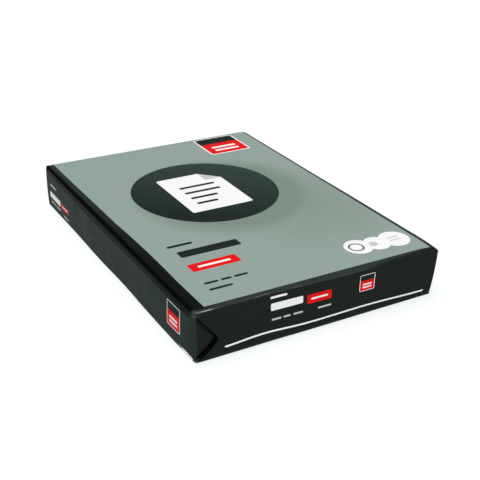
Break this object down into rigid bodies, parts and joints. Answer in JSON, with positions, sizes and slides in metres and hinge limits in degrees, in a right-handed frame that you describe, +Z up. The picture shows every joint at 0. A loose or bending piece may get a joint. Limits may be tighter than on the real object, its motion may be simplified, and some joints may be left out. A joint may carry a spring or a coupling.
{
  "type": "ream of paper",
  "caption": "Sealed ream of large copier paper in a dark printed paper wrapper, with envelope-folded ends, lying flat.",
  "frame": {"origin": "middle of the underside", "axes": "+X along the sheets' short side, +Y along their long side away from the front end, +Z up"},
  "size_m": [0.298, 0.4228, 0.054],
  "materials": {
    "wrapper": "coated printed paper, semi-gloss, near-black with a pale sage-green panel on top"
  },
  "bodies": {
    "root": {"wrapped_ream": "wrapper"}
  },
  "joints": []
}
